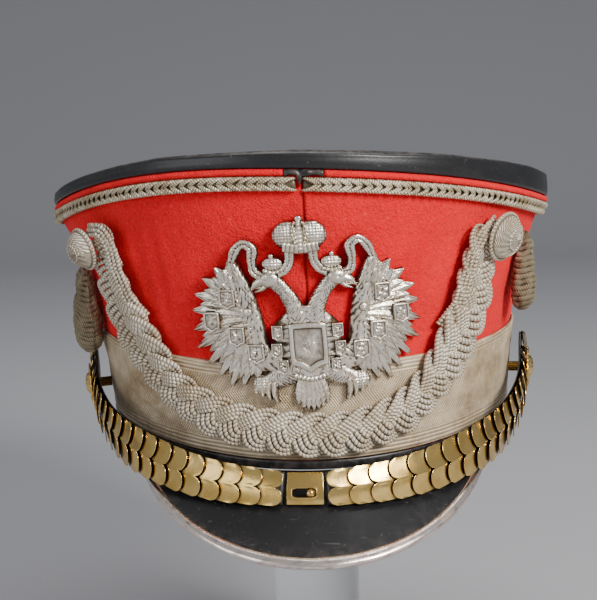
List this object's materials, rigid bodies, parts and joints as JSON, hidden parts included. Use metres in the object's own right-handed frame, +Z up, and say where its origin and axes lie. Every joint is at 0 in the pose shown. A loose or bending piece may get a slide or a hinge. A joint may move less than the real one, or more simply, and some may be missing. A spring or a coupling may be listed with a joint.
{
  "type": "shako hat on a display stand",
  "caption": "Flared military shako with red cloth body, leather top and visor, silver lace, plaited cord, eagle badge and brass chin scales, on a clear stand",
  "frame": {"origin": "middle of the underside of the stand's foot, on the surface it rests on", "axes": "+Z up, -Y towards the front of the hat, +X to the right as seen from the front; left and right in names are as seen from the front"},
  "size_m": [0.2158, 0.2521, 0.2407],
  "materials": {
    "red_cloth": "felted wool cloth with a soft nap",
    "black_leather": "black patent leather, scuffed",
    "silver_lace": "aged metal-thread lace",
    "silver_cord": "aged silver-thread cord",
    "cast_silver": "cast and silvered, dulled by age",
    "brass": "polished brass, darker at the sides",
    "rim_metal": "silvered brass worn to a warm tone",
    "clear_acrylic": "clear polished acrylic"
  },
  "bodies": {
    "root": {"crown": "red_cloth", "leather_rim": "black_leather", "leather_top": "black_leather", "welt": "red_cloth", "rim_braid": "silver_cord", "plume_keeper": "black_leather", "lace_band": "silver_lace", "hem_band": "black_leather", "visor": "black_leather", "visor_rim": "rim_metal", "eagle_badge": "cast_silver", "cord_swag": "silver_cord", "boss_left": "silver_cord", "boss_right": "silver_cord", "side_knot_left": "silver_cord", "side_knot_right": "silver_cord", "chin_scales_left": "brass", "chin_scales_right": "brass", "scale_rosette_left": "brass", "scale_rosette_right": "brass", "scale_clasp": "brass", "clasp_stud": "brass", "stand_foot": "clear_acrylic", "stand_post": "clear_acrylic", "stand_cap": "clear_acrylic"}
  },
  "joints": []
}
